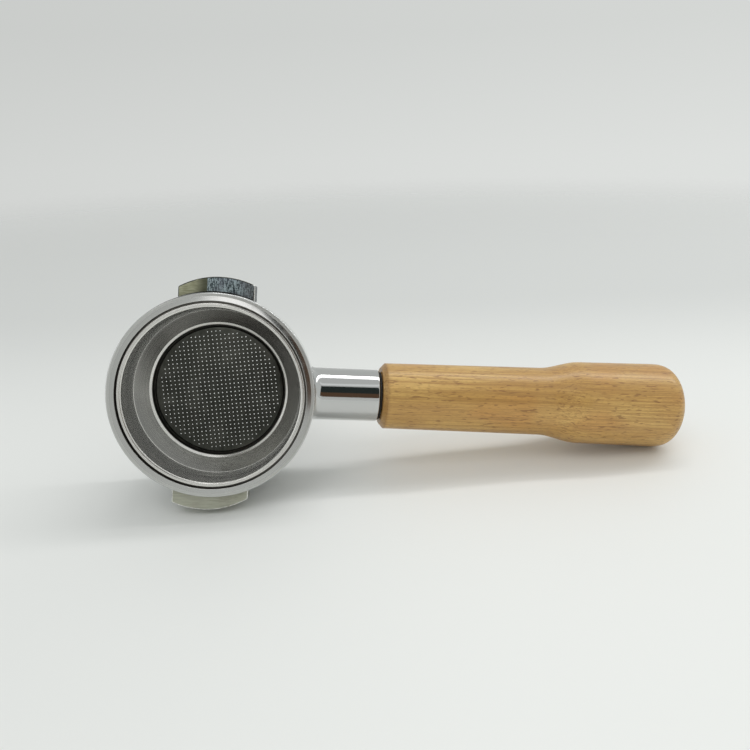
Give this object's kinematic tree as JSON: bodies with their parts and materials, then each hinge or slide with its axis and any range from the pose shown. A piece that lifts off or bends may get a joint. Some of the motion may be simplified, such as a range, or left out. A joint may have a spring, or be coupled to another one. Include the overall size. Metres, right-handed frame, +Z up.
{
  "type": "bottomless portafilter",
  "caption": "Bottomless espresso portafilter with a stepped filter basket, locking ears, polished neck and a turned beech handle, resting on its edge.",
  "frame": {"origin": "bottom centre of the object's box, on the surface it rests on", "axes": "+X towards the far end of the handle, -Y the side the mouth faces, +Z up; the head leans back at rest on its lower ear, its back edge and the handle's fat end"},
  "size_m": [0.2138, 0.0544, 0.0795],
  "materials": {
    "polished_chrome": "polished, fine turned lines on the rim face",
    "raw_ear_metal": "rough milled and satin",
    "spring_steel": "drawn wire",
    "basket_steel": "deep drawn, half polished",
    "black_rubber": "matte",
    "stud_steel": "zinc plated",
    "insert_brass": "machined",
    "beech": "satin varnish"
  },
  "bodies": {
    "head": {"body_ring": "polished_chrome", "upper_ear": "raw_ear_metal", "lower_ear": "raw_ear_metal", "neck": "polished_chrome", "basket_spring": "spring_steel"},
    "basket": {"filter_basket": "basket_steel"},
    "washer": {"neck_washer": "black_rubber"},
    "handle": {"handle_stud": "stud_steel", "handle_insert": "insert_brass", "wooden_grip": "beech"}
  },
  "joints": [
    {"name": "basket_lift", "type": "slide", "parent": "head", "child": "basket", "axis": [0.0286, -0.9587, 0.283], "range_m": [0, 0.035], "deforming": ["basket_spring"]},
    {"name": "washer_draw", "type": "slide", "parent": "head", "child": "washer", "axis": [0.9921, 0.0502, -0.1154], "range_m": [0, 0.01225]},
    {"name": "handle_unscrew", "type": "hinge", "parent": "washer", "child": "handle", "pos_m": [-0.01399, 0.0049, 0.02963], "axis": [0.9921, 0.0502, -0.1154], "range_deg": [0, 2520]}
  ],
  "couplings": [
    {"joint": "handle_unscrew", "follows": "washer_draw", "rad_per_m": 3590.4}
  ]
}
